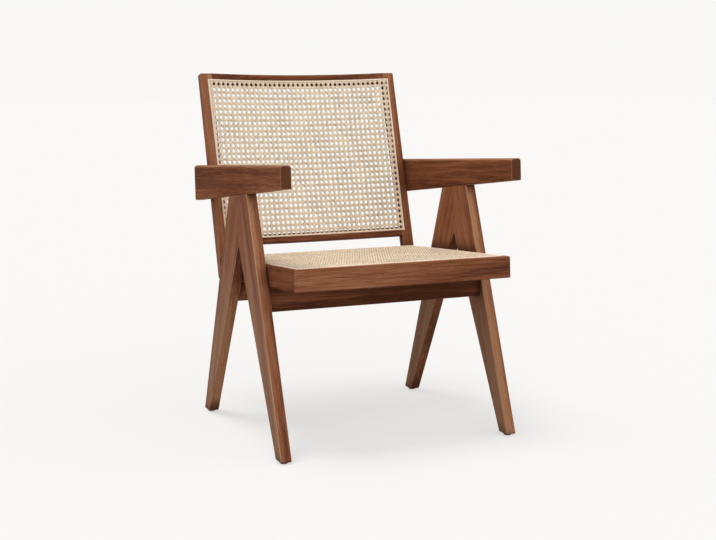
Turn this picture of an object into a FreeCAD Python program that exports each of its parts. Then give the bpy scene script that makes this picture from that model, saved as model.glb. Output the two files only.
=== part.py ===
import FreeCAD, Part
import Sketcher
import math
import os

Vector = FreeCAD.Vector
Placement = FreeCAD.Placement
Rotation = FreeCAD.Rotation

doc = FreeCAD.newDocument("cane_lounge_chair")

# Driving sizes: millimetres, and degrees where the note says so
sizes = [
    ("overall_depth", 643, "front of the seat to the rear of the back"),
    ("overall_height", 812, "floor to the top of the back"),
    ("inner_width", 518, "clear width between the side frames"),
    ("board", 25, "thickness of the legs and armrests"),
    ("edge_round", 3, "rounding of the wooden edges"),
    ("foot_front_inset", 11, "front of the chair to the front of a front foot"),
    ("foot_rear_inset", 114, "rear of the chair to the rear of a rear foot"),
    ("foot_width", 34.5, "width of a leg at the foot"),
    ("leg_top_width", 59.3, "width of a leg under the armrest"),
    ("crotch_drop", 111, "underside of the armrest to the point where the legs part"),
    ("arm_front_inset", 7, "front of the chair to the front of the armrest"),
    ("arm_height", 628.5, "floor to the front top corner of the armrest"),
    ("arm_rear_inset", 57.2, "rear of the chair to the rear top corner of the armrest"),
    ("arm_front_depth", 49, "depth of the armrest at its front end"),
    ("arm_rear_depth", 84.5, "depth of the armrest at its rear end"),
    ("arm_slope", 3.7, "slope of the armrest top, degrees"),
    ("arm_top_round", 7, "rounding of the armrest top"),
    ("seat_height", 412.5, "floor to the front top edge of the seat"),
    ("seat_tilt", 4, "slope of the seat, degrees"),
    ("seat_rail_height", 48, "height of the seat rails"),
    ("seat_rail_width", 34, "width of the seat rails"),
    ("seat_side_gap", 1, "gap between the seat and a side frame"),
    ("seat_border", 13, "wood outside the spline of the seat"),
    ("back_lean", 16.3, "lean of the back, degrees"),
    ("stile_width", 29, "width of a back stile"),
    ("stile_depth", 22, "depth of a back stile"),
    ("back_seat_gap", 27.2, "seat to the underside of the bottom rail, along the back"),
    ("top_rail_height", 29, "height of the top rail"),
    ("bottom_rail_height", 22.5, "height of the bottom rail"),
    ("rail_depth", 22, "depth of the back rails"),
    ("top_bow", 18, "bow of the top rail"),
    ("bottom_bow", 7, "bow of the bottom rail"),
    ("back_top_border", 15.4, "wood above the top spline"),
    ("back_bottom_border", 13.6, "wood below the bottom spline"),
    ("back_side_border", 17, "wood outside the side splines at the top of the back"),
    ("back_foot_border", 21.5, "wood outside the side splines at the foot of the back"),
    ("spline_width", 4.5, "width of the spline grooves"),
    ("groove_depth", 5, "depth of the spline grooves"),
    ("spline_proud", 1.8, "height of a spline above the wood"),
    ("spline_round", 1.4, "rounding of the splines"),
    ("cane_thickness", 2.4, "thickness of the woven cane"),
    ("cane_gap", 0.3, "clearance round the woven cane"),
    ("cane_upright_band", 24.5, "width of the upright bands between the openings of a cane panel"),
    ("cane_cross_band", 9, "width of the cross bands between the openings of a cane panel"),
    ("stretcher_board", 25, "thickness of the stretchers"),
    ("front_stretcher_height", 53, "height of the front stretcher"),
    ("front_stretcher_inset", 5, "front edge of the leg to the front stretcher"),
    ("rear_stretcher_height", 46, "height of the rear stretcher"),
    ("rear_stretcher_inset", 2, "front edge of the rear leg to the rear stretcher"),
    ("tenon_thickness", 10, "thickness of the tenons"),
    ("tenon_length", 16, "length of the tenons"),
    ("tenon_shoulder", 7, "shoulder above and below a tenon"),
    ("tenon_inset", 5, "inner face of a seat rail to its tenon"),
    ("mitre_tenon_length", 24, "inner corner of the seat frame to the tip of a front tenon"),
    ("fit_gap", 0.15, "clearance round tenons, dowels, screws and splines"),
    ("dowel_diameter", 10, "diameter of the dowels"),
    ("dowel_length", 50, "length of the dowels"),
    ("dowel_chamfer", 1.2, "chamfer of the dowel ends"),
    ("screw_diameter", 5, "diameter of the screws"),
    ("screw_length", 44, "length of the screws"),
    ("screw_head_diameter", 9.6, "diameter of the screw heads"),
    ("screw_head_height", 2.8, "height of the screw heads"),
    ("screw_tip", 6, "length of the pointed end of a screw"),
    ("glide_height", 4, "height of a floor glide"),
    ("glide_diameter", 18, "diameter of a floor glide"),
    ("glide_chamfer", 1.2, "chamfer of the lower glide edge"),
    ("glide_sole", 1.6, "thickness of the glide below the nail head"),
    ("nail_diameter", 3, "diameter of a glide nail"),
    ("nail_length", 18, "length of a glide nail in the leg"),
    ("nail_head_diameter", 8, "diameter of a glide nail head"),
    ("nail_head_height", 1.2, "height of a glide nail head"),
    ("nail_tip", 4, "length of the pointed end of a nail"),
    ("cut_overrun", 5, "how far a cut runs past the wood"),
]

# Places of fasteners as shares of the length they are spread over
leg_dowel_shares = (0.25, 0.6)
armrest_dowel_share = 0.5
armrest_screw_shares = (0.3, 0.7)
back_screw_shares = (0.3, 0.7)
seat_screw_share = 0.5

# Counts of the openings that stand for the open weave of the cane
openings_across = 12
seat_openings_along = 11
back_openings_along = 10

# Places worked out from the driving sizes
places = [
    ("half_inner", "dims.inner_width / 2"),
    ("front_y", "-dims.overall_depth / 2"),
    ("foot_insets", "dims.foot_front_inset + dims.foot_rear_inset"),
    ("half_spread", "(dims.overall_depth - foot_insets) / 2"),
    ("half_gap", "half_spread - dims.foot_width"),
    ("frame_y", "front_y + dims.foot_front_inset + half_spread"),
    ("arm_y", "front_y + dims.arm_front_inset"),
    ("arm_cos", "cos(dims.arm_slope * 1deg)"),
    ("arm_sin", "sin(dims.arm_slope * 1deg)"),
    ("arm_insets", "dims.arm_front_inset + dims.arm_rear_inset"),
    ("arm_length", "(dims.overall_depth - arm_insets) / arm_cos"),
    ("arm_taper", "atan((dims.arm_rear_depth - dims.arm_front_depth) / arm_length)"),
    ("under_tan", "tan(dims.arm_slope * 1deg + arm_taper)"),
    ("arm_foot_y", "arm_y - dims.arm_front_depth * arm_sin"),
    ("arm_foot_z", "dims.arm_height - dims.arm_front_depth * arm_cos"),
    ("under_z", "arm_foot_z - (frame_y - arm_foot_y) * under_tan"),
    ("crotch_z", "under_z - dims.crotch_drop"),
    ("inner_tan", "half_gap / (crotch_z - dims.glide_height)"),
    ("lean_tan", "(half_spread - dims.leg_top_width) / (under_z - dims.glide_height)"),
    ("front_top_y", "frame_y - dims.leg_top_width / (1 + under_tan * lean_tan)"),
    ("rear_top_y", "frame_y + dims.leg_top_width / (1 - under_tan * lean_tan)"),
    ("front_top_z", "under_z - (front_top_y - frame_y) * under_tan"),
    ("rear_top_z", "under_z - (rear_top_y - frame_y) * under_tan"),
    ("seat_cos", "cos(dims.seat_tilt * 1deg)"),
    ("seat_sin", "sin(dims.seat_tilt * 1deg)"),
    ("seat_ease", "dims.edge_round * (seat_cos + seat_sin - 1)"),
    ("seat_y", "front_y - seat_ease + dims.seat_rail_height * seat_sin"),
    ("back_cos", "cos(dims.back_lean * 1deg)"),
    ("back_sin", "sin(dims.back_lean * 1deg)"),
    ("back_ease", "dims.edge_round * (back_cos + back_sin - 1)"),
    ("back_reach", "max(dims.stile_depth; dims.top_bow + dims.rail_depth)"),
    ("back_y", "dims.overall_depth / 2 + back_ease - back_reach * back_cos"),
    ("back_z", "dims.overall_height + back_ease"),
    ("bevel_cos", "cos((dims.back_lean - dims.seat_tilt) * 1deg)"),
    ("bevel_tan", "tan((dims.back_lean - dims.seat_tilt) * 1deg)"),
    ("seat_run", "back_y - seat_y"),
    ("back_rise", "back_z - dims.seat_height"),
    ("seat_length", "(seat_run * back_cos - back_rise * back_sin) / bevel_cos"),
    ("stile_drop", "seat_run * seat_sin + back_rise * seat_cos"),
    ("stile_length", "(stile_drop + dims.seat_rail_height) / bevel_cos"),
    ("back_frame_height", "stile_drop / bevel_cos - dims.back_seat_gap"),
    ("under_seat", "dims.seat_height * seat_cos - dims.seat_rail_height"),
    ("front_leg_y", "frame_y - half_spread - dims.glide_height * lean_tan"),
    ("front_cross", "under_seat - (front_leg_y - seat_y) * seat_sin"),
    ("front_cross_z", "front_cross / (seat_cos + lean_tan * seat_sin)"),
    ("front_cross_y", "front_leg_y + front_cross_z * lean_tan"),
    ("front_drop", "(dims.seat_height - front_cross_z) * seat_sin"),
    ("front_edge_run", "(front_cross_y - seat_y) * seat_cos + front_drop"),
    ("front_stretcher_run", "front_edge_run + dims.front_stretcher_inset"),
    ("rear_leg_y", "frame_y + half_gap + dims.glide_height * inner_tan"),
    ("rear_cross", "under_seat - dims.rear_stretcher_height - (rear_leg_y - seat_y) * seat_sin"),
    ("rear_cross_z", "rear_cross / (seat_cos - inner_tan * seat_sin)"),
    ("rear_cross_y", "rear_leg_y - rear_cross_z * inner_tan"),
    ("rear_drop", "(dims.seat_height - rear_cross_z) * seat_sin"),
    ("rear_edge_run", "(rear_cross_y - seat_y) * seat_cos + rear_drop"),
    ("rear_stretcher_run", "rear_edge_run + dims.rear_stretcher_inset"),
    ("bow_half", "half_inner - dims.stile_width"),
    ("back_groove_out", "half_inner - dims.back_side_border"),
    ("back_groove_in", "back_groove_out - dims.spline_width"),
    ("back_foot_out", "half_inner - dims.back_foot_border"),
    ("back_foot_in", "back_foot_out - dims.spline_width"),
    ("back_groove_top", "-dims.back_top_border"),
    ("back_groove_foot", "dims.back_bottom_border - back_frame_height"),
    ("seat_half", "half_inner - dims.seat_side_gap"),
    ("seat_inner", "seat_half - dims.seat_rail_width"),
    ("seat_groove_out", "seat_half - dims.seat_border"),
    ("seat_groove_in", "seat_groove_out - dims.spline_width"),
    ("seat_groove_rear", "seat_length - dims.seat_border"),
    ("rear_rail_run", "seat_length - dims.seat_rail_width"),
    ("spline_size", "dims.spline_width - 2 * dims.fit_gap"),
    ("spline_bed", "dims.groove_depth - dims.fit_gap"),
    ("cane_face", "dims.cane_gap + dims.cane_thickness"),
]

sheet = doc.addObject("Spreadsheet::Sheet", "dims")
for row, (name, amount, note) in enumerate(sizes, start=1):
    sheet.set(f"A{row}", name)
    sheet.set(f"B{row}", str(amount))
    sheet.setAlias(f"B{row}", name)
    sheet.set(f"C{row}", note)
doc.recompute()

marks = doc.addObject("Spreadsheet::Sheet", "marks")
for row, (name, formula) in enumerate(places, start=1):
    marks.set(f"A{row}", name)
    marks.set(f"B{row}", "=" + formula)
    marks.setAlias(f"B{row}", name)
doc.recompute()


def value(text):
    return float(sheet.evalExpression(text))


# Sketch and feature helpers

def new_body(label):
    body = doc.addObject("PartDesign::Body", label)
    body.Label = label
    return body


def new_sketch(body, role, lift="0"):
    plane = [item for item in body.Origin.OriginFeatures if item.Role == role][0]
    sketch = body.newObject("Sketcher::SketchObject", "outline")
    sketch.AttachmentSupport = [(plane, "")]
    sketch.MapMode = "FlatFace"
    sketch.setExpression(".AttachmentOffset.Base.z", lift)
    return sketch


def pin(sketch, line, end, corner):
    for kind, text in zip(("DistanceX", "DistanceY"), corner):
        index = sketch.addConstraint(Sketcher.Constraint(kind, line, end, value(text)))
        sketch.setExpression(f"Constraints[{index}]", text)


def polygon(sketch, corners):
    first = sketch.GeometryCount
    points = [Vector(value(across), value(up), 0) for across, up in corners]
    count = len(points)
    for index in range(count):
        line = Part.LineSegment(points[index], points[(index + 1) % count])
        sketch.addGeometry(line, False)
    for index in range(count):
        following = first + (index + 1) % count
        sketch.addConstraint(Sketcher.Constraint("Coincident", first + index, 2, following, 1))
    for index, corner in enumerate(corners):
        pin(sketch, first + index, 1, corner)
    return corners


def rectangle(sketch, left, low, right, high):
    return polygon(sketch, [(left, low), (right, low), (right, high), (left, high)])


# A band of even depth that bows to the rear between two flat ends
def bowed_band(sketch, half, bow, front, depth):
    rear = f"{front} + {depth}"
    curve = "marks.bow_half"
    corners = []
    for level in (front, rear):
        line = [(f"-({half})", level), (f"-{curve}", level), (curve, level), (half, level)]
        if half == curve:
            line = line[1:3]
        corners.append(line)
    corners = corners[0] + corners[1][::-1]
    count = len(corners)
    radius = f"({curve} ^ 2 + ({bow}) ^ 2) / (2 * ({bow}))"
    points = [Vector(value(across), value(up), 0) for across, up in corners]
    swing = math.asin(value(curve) / value(radius))
    arcs = []
    for index in range(count):
        following = (index + 1) % count
        ends = {corners[index][0], corners[following][0]}
        if ends == {f"-{curve}", curve}:
            centre = Vector(0, points[index].y + value(bow) - value(radius), 0)
            circle = Part.Circle(centre, Vector(0, 0, 1), value(radius))
            half_turn = math.pi / 2
            arc = Part.ArcOfCircle(circle, half_turn - swing, half_turn + swing)
            sketch.addGeometry(arc, False)
            arcs.append(index)
        else:
            sketch.addGeometry(Part.LineSegment(points[index], points[following]), False)
    starts = {}
    finishes = {}
    for index in range(count):
        runs_left = index in arcs and points[index].x < points[(index + 1) % count].x
        starts[index] = 2 if runs_left else 1
        finishes[index] = 1 if runs_left else 2
    for index in range(count):
        following = (index + 1) % count
        joint = Sketcher.Constraint("Coincident", index, finishes[index], following, starts[following])
        sketch.addConstraint(joint)
    for index, corner in enumerate(corners):
        pin(sketch, index, starts[index], corner)
    for index in arcs:
        number = sketch.addConstraint(Sketcher.Constraint("Radius", index, value(radius)))
        sketch.setExpression(f"Constraints[{number}]", radius)
    return corners


# A slot with a short return at each end, drawn along and across its run, its sides given at both ends
def return_slot(start, finish, outers, inners, tip, width):
    return [
        (start, outers[0]),
        (finish, outers[1]),
        (finish, tip),
        (f"{finish} - {width}", tip),
        (f"{finish} - {width}", inners[1]),
        (f"{start} + {width}", inners[0]),
        (f"{start} + {width}", tip),
        (start, tip),
    ]


def grow(body, kind, sketch, length, turned=False, both=False):
    feature = body.newObject(f"PartDesign::{kind}", kind.lower())
    feature.Profile = sketch
    feature.setExpression("Length", length)
    feature.Reversed = turned
    if both:
        feature.SideType = "Symmetric"
    doc.recompute()
    return feature


def pad(body, sketch, length, turned=False, both=False):
    return grow(body, "Pad", sketch, length, turned, both)


def pocket(body, sketch, length, turned=False):
    return grow(body, "Pocket", sketch, length, turned)


flat_of = {
    "XY_Plane": lambda point: (point.x, point.y),
    "XZ_Plane": lambda point: (point.x, point.z),
    "YZ_Plane": lambda point: (point.y, point.z),
}


# Rounds the edges that run between the listed pairs of outline corners
def soften(body, feature, role, corners, pairs, radius):
    flat = flat_of[role]
    spots = [(value(across), value(up)) for across, up in corners]
    wanted = {tuple(sorted(pair)) for pair in pairs}
    names = []
    for number, edge in enumerate(feature.Shape.Edges, start=1):
        ends = []
        for vertex in edge.Vertexes:
            gaps = [math.dist(flat(vertex.Point), spot) for spot in spots]
            ends.append(gaps.index(min(gaps)))
        if tuple(sorted(ends)) in wanted:
            names.append(f"Edge{number}")
    return fillet(body, feature, names, radius)


def fillet(body, feature, names, radius):
    rounding = body.newObject("PartDesign::Fillet", "rounding")
    rounding.Base = (feature, names)
    rounding.setExpression("Radius", radius)
    doc.recompute()
    return rounding


def stand(item, y_text, z_text, turn_text):
    item.Placement = Placement(Vector(), Rotation(Vector(1, 0, 0), 1))
    item.setExpression(".Placement.Base.y", y_text)
    item.setExpression(".Placement.Base.z", z_text)
    item.setExpression(".Placement.Rotation.Angle", f"-{turn_text} * 1deg")
    doc.recompute()


def stand_on_seat(item):
    stand(item, "marks.seat_y", "dims.seat_height", "dims.seat_tilt")


def stand_on_back(item):
    stand(item, "marks.back_y", "marks.back_z", "dims.back_lean")


def frame_of(y_text, z_text, turn_text):
    base = Vector(0, value(y_text), value(z_text))
    return Placement(base, Rotation(Vector(1, 0, 0), -value(turn_text)))


seat_frame = frame_of("marks.seat_y", "dims.seat_height", "dims.seat_tilt")
back_frame = frame_of("marks.back_y", "marks.back_z", "dims.back_lean")


def seat_point(run, rise):
    across = f"marks.seat_y + ({run}) * marks.seat_cos + ({rise}) * marks.seat_sin"
    up = f"dims.seat_height - ({run}) * marks.seat_sin + ({rise}) * marks.seat_cos"
    return across, up


# A round piece turned about its own axis, drawn as radius and distance along it
def turned_piece(label, corners, spot, axis):
    body = new_body(label)
    sketch = new_sketch(body, "XZ_Plane")
    polygon(sketch, corners)
    feature = body.newObject("PartDesign::Revolution", "revolution")
    feature.Profile = sketch
    feature.ReferenceAxis = (sketch, ["V_Axis"])
    body.Placement = Placement(spot, Rotation(Vector(0, 0, 1), axis))
    doc.recompute()
    return body


def group(label, members):
    bundle = doc.addObject("Part::Compound", label)
    bundle.Label = label
    bundle.Links = members
    return bundle


def pierce(body, label, drills):
    cut = doc.addObject("Part::Cut", label)
    cut.Label = label
    cut.Base = body
    cut.Tool = group(f"{label}_drills", drills)
    return cut


sides = {"left": -1, "right": 1}
pieces = []

# Fasteners and the holes they sit in

gap = "dims.fit_gap"
dowel_radius = "dims.dowel_diameter / 2"
dowel_outline = [
    ("0", "0"),
    (f"{dowel_radius} - dims.dowel_chamfer", "0"),
    (dowel_radius, "dims.dowel_chamfer"),
    (dowel_radius, "dims.dowel_length - dims.dowel_chamfer"),
    (f"{dowel_radius} - dims.dowel_chamfer", "dims.dowel_length"),
    ("0", "dims.dowel_length"),
]
dowel_hole = [
    ("0", f"-{gap}"),
    (f"{dowel_radius} + {gap}", f"-{gap}"),
    (f"{dowel_radius} + {gap}", f"dims.dowel_length + {gap}"),
    ("0", f"dims.dowel_length + {gap}"),
]
screw_radius = "dims.screw_diameter / 2"
head_radius = "dims.screw_head_diameter / 2"
screw_outline = [
    ("0", "0"),
    (head_radius, "0"),
    (screw_radius, "dims.screw_head_height"),
    (screw_radius, "dims.screw_length - dims.screw_tip"),
    ("0", "dims.screw_length"),
]


def screw_hole(access):
    return [
        ("0", f"-({access})"),
        (f"{head_radius} + {gap}", f"-({access})"),
        (f"{head_radius} + {gap}", "0"),
        (f"{screw_radius} + {gap}", "dims.screw_head_height"),
        (f"{screw_radius} + {gap}", "dims.screw_length"),
        ("0", f"dims.screw_length + {gap}"),
    ]


nail_radius = "dims.nail_diameter / 2"
nail_head_radius = "dims.nail_head_diameter / 2"
nail_top = "dims.glide_height + dims.nail_length"
head_top = "dims.glide_sole + dims.nail_head_height"
nail_outline = [
    ("0", "dims.glide_sole"),
    (nail_head_radius, "dims.glide_sole"),
    (nail_head_radius, head_top),
    (nail_radius, head_top),
    (nail_radius, f"{nail_top} - dims.nail_tip"),
    ("0", nail_top),
]
nail_hole = [
    ("0", "0"),
    (f"{nail_radius} + {gap}", "0"),
    (f"{nail_radius} + {gap}", nail_top),
    ("0", f"{nail_top} + {gap}"),
]
glide_radius = "dims.glide_diameter / 2"
glide_outline = [
    ("0", "0"),
    (f"{glide_radius} - dims.glide_chamfer", "0"),
    (glide_radius, "dims.glide_chamfer"),
    (glide_radius, "dims.glide_height"),
    (f"{nail_radius} + {gap}", "dims.glide_height"),
    (f"{nail_radius} + {gap}", f"{head_top} + {gap}"),
    (f"{nail_head_radius} + {gap}", f"{head_top} + {gap}"),
    (f"{nail_head_radius} + {gap}", f"dims.glide_sole - {gap}"),
    ("0", f"dims.glide_sole - {gap}"),
]

fastener_outlines = {
    "leg_dowels": dowel_outline,
    "armrest_dowels": dowel_outline,
    "armrest_screws": screw_outline,
    "back_screws": screw_outline,
    "seat_screws": screw_outline,
    "glide_nails": nail_outline,
}
fasteners = {name: [] for name in fastener_outlines}
holes = {}


# Sets one fastener and the drill that makes its hole
def fix(kind, key, hole_outline, spot, axis):
    number = len(fasteners[kind]) + 1
    fasteners[kind].append(turned_piece(f"{kind}_{number}", fastener_outlines[kind], spot, axis))
    drill = turned_piece(f"{kind}_{number}_drill", hole_outline, spot, axis)
    holes.setdefault(key, []).append(drill)


frame_y = value("marks.frame_y")
under_z = value("marks.under_z")
under_tan = value("marks.under_tan")
board_middle = value("marks.half_inner + dims.board / 2")
dowel_half = value("dims.dowel_length / 2")
foot_middle = value("marks.half_spread - dims.foot_width / 2")

# Stile middle line where it crosses the armrest
stile_tan = value("marks.back_sin / marks.back_cos")
stile_floor_y = value("marks.back_y + dims.stile_depth / 2 / marks.back_cos")
stile_floor_y -= value("marks.back_z") * stile_tan
arm_tan = value("marks.arm_sin / marks.arm_cos")
arm_top_z = value("dims.arm_height") - (frame_y - value("marks.arm_y")) * arm_tan
cross_low = (under_z - (stile_floor_y - frame_y) * under_tan) / (1 + stile_tan * under_tan)
cross_high = (arm_top_z - (stile_floor_y - frame_y) * arm_tan) / (1 + stile_tan * arm_tan)

stile_middle = value("marks.half_inner - dims.stile_width / 2")
rail_slope = value("dims.seat_rail_height / marks.bevel_cos")
seat_rail_middle = value("marks.seat_half - dims.seat_rail_width / 2")
stretchers = ("front", "rear")

for side, sign in sides.items():
    for share in leg_dowel_shares:
        height = value("marks.crotch_z") + share * value("dims.crotch_drop")
        spot = Vector(sign * board_middle, frame_y - dowel_half, height)
        fix("leg_dowels", f"{side}_legs", dowel_hole, spot, Vector(0, 1, 0))
    for end in stretchers:
        top_y = value(f"marks.{end}_top_y")
        y = frame_y + armrest_dowel_share * (top_y - frame_y)
        z = under_z - (y - frame_y) * under_tan - dowel_half
        spot = Vector(sign * board_middle, y, z)
        fix("armrest_dowels", f"{side}_{end}_arm", dowel_hole, spot, Vector(0, 0, 1))
    for share in armrest_screw_shares:
        z = cross_low + share * (cross_high - cross_low)
        spot = Vector(sign * value("marks.bow_half"), stile_floor_y + z * stile_tan, z)
        outline = screw_hole("dims.cut_overrun")
        fix("armrest_screws", f"{side}_stile_arm", outline, spot, Vector(sign, 0, 0))
    for share in back_screw_shares:
        z = share * rail_slope - value("marks.stile_length")
        spot = back_frame.multVec(Vector(sign * stile_middle, value("dims.stile_depth"), z))
        axis = back_frame.Rotation.multVec(Vector(0, -1, 0))
        outline = screw_hole("dims.cut_overrun")
        fix("back_screws", f"{side}_stile_seat", outline, spot, axis)
    for end in stretchers:
        run = value(f"marks.{end}_stretcher_run + dims.stretcher_board / 2")
        bite = value("dims.seat_rail_height") + seat_screw_share * value("dims.screw_length")
        spot = seat_frame.multVec(Vector(sign * seat_rail_middle, run, -bite))
        axis = seat_frame.Rotation.multVec(Vector(0, 0, 1))
        outline = screw_hole(f"dims.{end}_stretcher_height")
        fix("seat_screws", f"{side}_{end}_seat", outline, spot, axis)
    for end, way in zip(stretchers, (-1, 1)):
        spot = Vector(sign * board_middle, frame_y + way * foot_middle, 0)
        fix("glide_nails", f"{side}_{end}_foot", nail_hole, spot, Vector(0, 0, 1))
        pieces.append(turned_piece(f"{side}_{end}_glide", glide_outline, spot, Vector(0, 0, 1)))

for name, members in fasteners.items():
    pieces.append(group(name, members))

# Legs

leg_outlines = {
    "front": [
        ("marks.frame_y - marks.half_spread", "dims.glide_height"),
        ("marks.frame_y - marks.half_gap", "dims.glide_height"),
        ("marks.frame_y", "marks.crotch_z"),
        ("marks.frame_y", "marks.under_z"),
        ("marks.front_top_y", "marks.front_top_z"),
    ],
    "rear": [
        ("marks.frame_y + marks.half_spread", "dims.glide_height"),
        ("marks.frame_y + marks.half_gap", "dims.glide_height"),
        ("marks.frame_y", "marks.crotch_z"),
        ("marks.frame_y", "marks.under_z"),
        ("marks.rear_top_y", "marks.rear_top_z"),
    ],
}
leg_rounded = [(4, 0), (0, 1), (1, 2), (0, 0), (1, 1)]


def tenon_faces(end, room):
    near = f"marks.{end}_stretcher_run + (dims.stretcher_board - dims.tenon_thickness) / 2"
    far = f"{near} + dims.tenon_thickness"
    high = "-dims.seat_rail_height - dims.tenon_shoulder"
    low = f"-dims.seat_rail_height - dims.{end}_stretcher_height + dims.tenon_shoulder"
    return f"{near} - {room}", f"{low} - {room}", f"{far} + {room}", f"{high} + {room}"


for side, sign in sides.items():
    for end in stretchers:
        label = f"{side}_{end}_leg"
        leg = new_body(f"{label}_blank")
        outline = new_sketch(leg, "YZ_Plane", f"{sign} * marks.half_inner")
        polygon(outline, leg_outlines[end])
        plank = pad(leg, outline, "dims.board", sign < 0)
        soften(leg, plank, "YZ_Plane", leg_outlines[end], leg_rounded, "dims.edge_round")
        near, low, far, high = tenon_faces(end, gap)
        mortise = new_sketch(leg, "YZ_Plane", f"{sign} * marks.half_inner")
        rim = [(near, low), (far, low), (far, high), (near, high)]
        polygon(mortise, [seat_point(run, rise) for run, rise in rim])
        pocket(leg, mortise, f"dims.tenon_length + {gap}", sign > 0)
        drills = holes[f"{side}_legs"] + holes[f"{side}_{end}_arm"] + holes[f"{side}_{end}_foot"]
        pieces.append(pierce(leg, label, drills))

# Armrests

arm_corners = [
    ("0", "-dims.arm_front_depth"),
    ("marks.arm_length", "-dims.arm_rear_depth"),
    ("marks.arm_length", "0"),
    ("0", "0"),
]

for side, sign in sides.items():
    label = f"{side}_armrest"
    arm = new_body(f"{label}_blank")
    outline = new_sketch(arm, "YZ_Plane", f"{sign} * marks.half_inner")
    polygon(outline, arm_corners)
    plank = pad(arm, outline, "dims.board", sign < 0)
    rounded = soften(arm, plank, "YZ_Plane", arm_corners, [(2, 3)], "dims.arm_top_round")
    length = value("marks.arm_length")
    names = []
    for number, edge in enumerate(rounded.Shape.Edges, start=1):
        runs = [vertex.Point.y for vertex in edge.Vertexes]
        lows = [vertex.Point.z for vertex in edge.Vertexes]
        at_end = math.isclose(min(runs), max(runs), abs_tol=value(gap))
        is_long = max(runs) - min(runs) > length / 2
        is_low = max(lows) < -value("dims.arm_front_depth") / 2
        if at_end or (is_long and is_low):
            names.append(f"Edge{number}")
    fillet(arm, rounded, names, "dims.edge_round")
    stand(arm, "marks.arm_y", "dims.arm_height", "dims.arm_slope")
    drills = holes[f"{side}_front_arm"] + holes[f"{side}_rear_arm"] + holes[f"{side}_stile_arm"]
    pieces.append(pierce(arm, label, drills))

# Stretchers

for end in stretchers:
    label = f"{end}_stretcher"
    stretcher = new_body(f"{label}_blank")
    outline = new_sketch(stretcher, "YZ_Plane")
    run = f"marks.{end}_stretcher_run"
    low = f"-dims.seat_rail_height - dims.{end}_stretcher_height"
    corners = rectangle(outline, run, low, f"{run} + dims.stretcher_board", "-dims.seat_rail_height")
    plank = pad(stretcher, outline, "dims.inner_width", both=True)
    soften(stretcher, plank, "YZ_Plane", corners, [(0, 0), (1, 1)], "dims.edge_round")
    tenon = new_sketch(stretcher, "YZ_Plane")
    rectangle(tenon, *tenon_faces(end, "0"))
    pad(stretcher, tenon, "dims.inner_width + 2 * dims.tenon_length", both=True)
    stand_on_seat(stretcher)
    drills = holes[f"left_{end}_seat"] + holes[f"right_{end}_seat"]
    pieces.append(pierce(stretcher, label, drills))

# Seat frame

seat_ends = {
    "front": [
        ("0", "-dims.seat_rail_height"),
        ("dims.seat_rail_width", "-dims.seat_rail_height"),
        ("dims.seat_rail_width", "0"),
        ("0", "0"),
    ],
    "rear": [
        ("marks.seat_length - dims.seat_rail_height * marks.bevel_tan", "-dims.seat_rail_height"),
        ("marks.rear_rail_run", "-dims.seat_rail_height"),
        ("marks.rear_rail_run", "0"),
        ("marks.seat_length", "0"),
    ],
}
seat_slots = {
    "front": ("dims.seat_border", "dims.seat_border + dims.spline_width",
              "dims.seat_rail_width + dims.cut_overrun"),
    "rear": ("marks.seat_groove_rear", "marks.seat_groove_rear - dims.spline_width",
             "marks.rear_rail_run - dims.cut_overrun"),
}
seat_faces = {"front": "dims.seat_rail_width", "rear": "marks.rear_rail_run"}
seat_tenon_lengths = {"front": "dims.mitre_tenon_length", "rear": "dims.tenon_length"}
seat_rounded = [(3, 3), (0, 0), (2, 3), (3, 0), (0, 1)]
seat_side_rounded = [(1, 1), (2, 2), (1, 2), (2, 3), (0, 1)]
seat_tenon_in = "marks.seat_inner + dims.tenon_inset"
seat_tenon_out = f"{seat_tenon_in} + dims.tenon_thickness"
seat_tenon_low = "-dims.seat_rail_height + dims.tenon_shoulder"
seat_tenon_high = "-dims.tenon_shoulder"
mitre_out = "(marks.seat_half + dims.cut_overrun)"
mitre_in = "(marks.seat_inner - dims.cut_overrun)"
mitre_near = "-dims.cut_overrun"
mitre_far = "dims.seat_rail_width + dims.cut_overrun"


# Saws a seat rail along the mitre of a front corner and drops the side that holds the last point
def saw_mitre(rail, signs, waste):
    cut = new_sketch(rail, "XY_Plane")
    for sign in signs:
        line = [(mitre_out, mitre_near), (mitre_in, mitre_far), waste]
        polygon(cut, [(f"{sign} * {across}", run) for across, run in line])
    pocket(rail, cut, "dims.seat_rail_height")


for end in stretchers:
    label = f"seat_{end}_rail"
    rail = new_body(f"{label}_blank")
    outline = new_sketch(rail, "YZ_Plane")
    polygon(outline, seat_ends[end])
    plank = pad(rail, outline, "2 * marks.seat_half", both=True)
    soften(rail, plank, "YZ_Plane", seat_ends[end], seat_rounded, "dims.edge_round")
    outer, inner, tip = seat_slots[end]
    groove = new_sketch(rail, "XY_Plane")
    reach = "marks.seat_groove_out"
    slot = return_slot(f"-{reach}", reach, (outer, outer), (inner, inner), tip, "dims.spline_width")
    polygon(groove, slot)
    pocket(rail, groove, "dims.groove_depth")
    mortise = new_sketch(rail, "XZ_Plane", f"-{seat_faces[end]}")
    for sign in sides.values():
        near = f"{sign} * ({seat_tenon_in} - {gap})"
        far = f"{sign} * ({seat_tenon_out} + {gap})"
        rectangle(mortise, near, f"{seat_tenon_low} - {gap}", far, f"{seat_tenon_high} + {gap}")
    pocket(rail, mortise, f"{seat_tenon_lengths[end]} + {gap}", end == "front")
    if end == "front":
        saw_mitre(rail, sides.values(), (mitre_out, mitre_far))
    stand_on_seat(rail)
    if end == "rear":
        pieces.append(pierce(rail, label, holes["left_stile_seat"] + holes["right_stile_seat"]))
    else:
        rail.Label = label
        pieces.append(rail)

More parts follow.
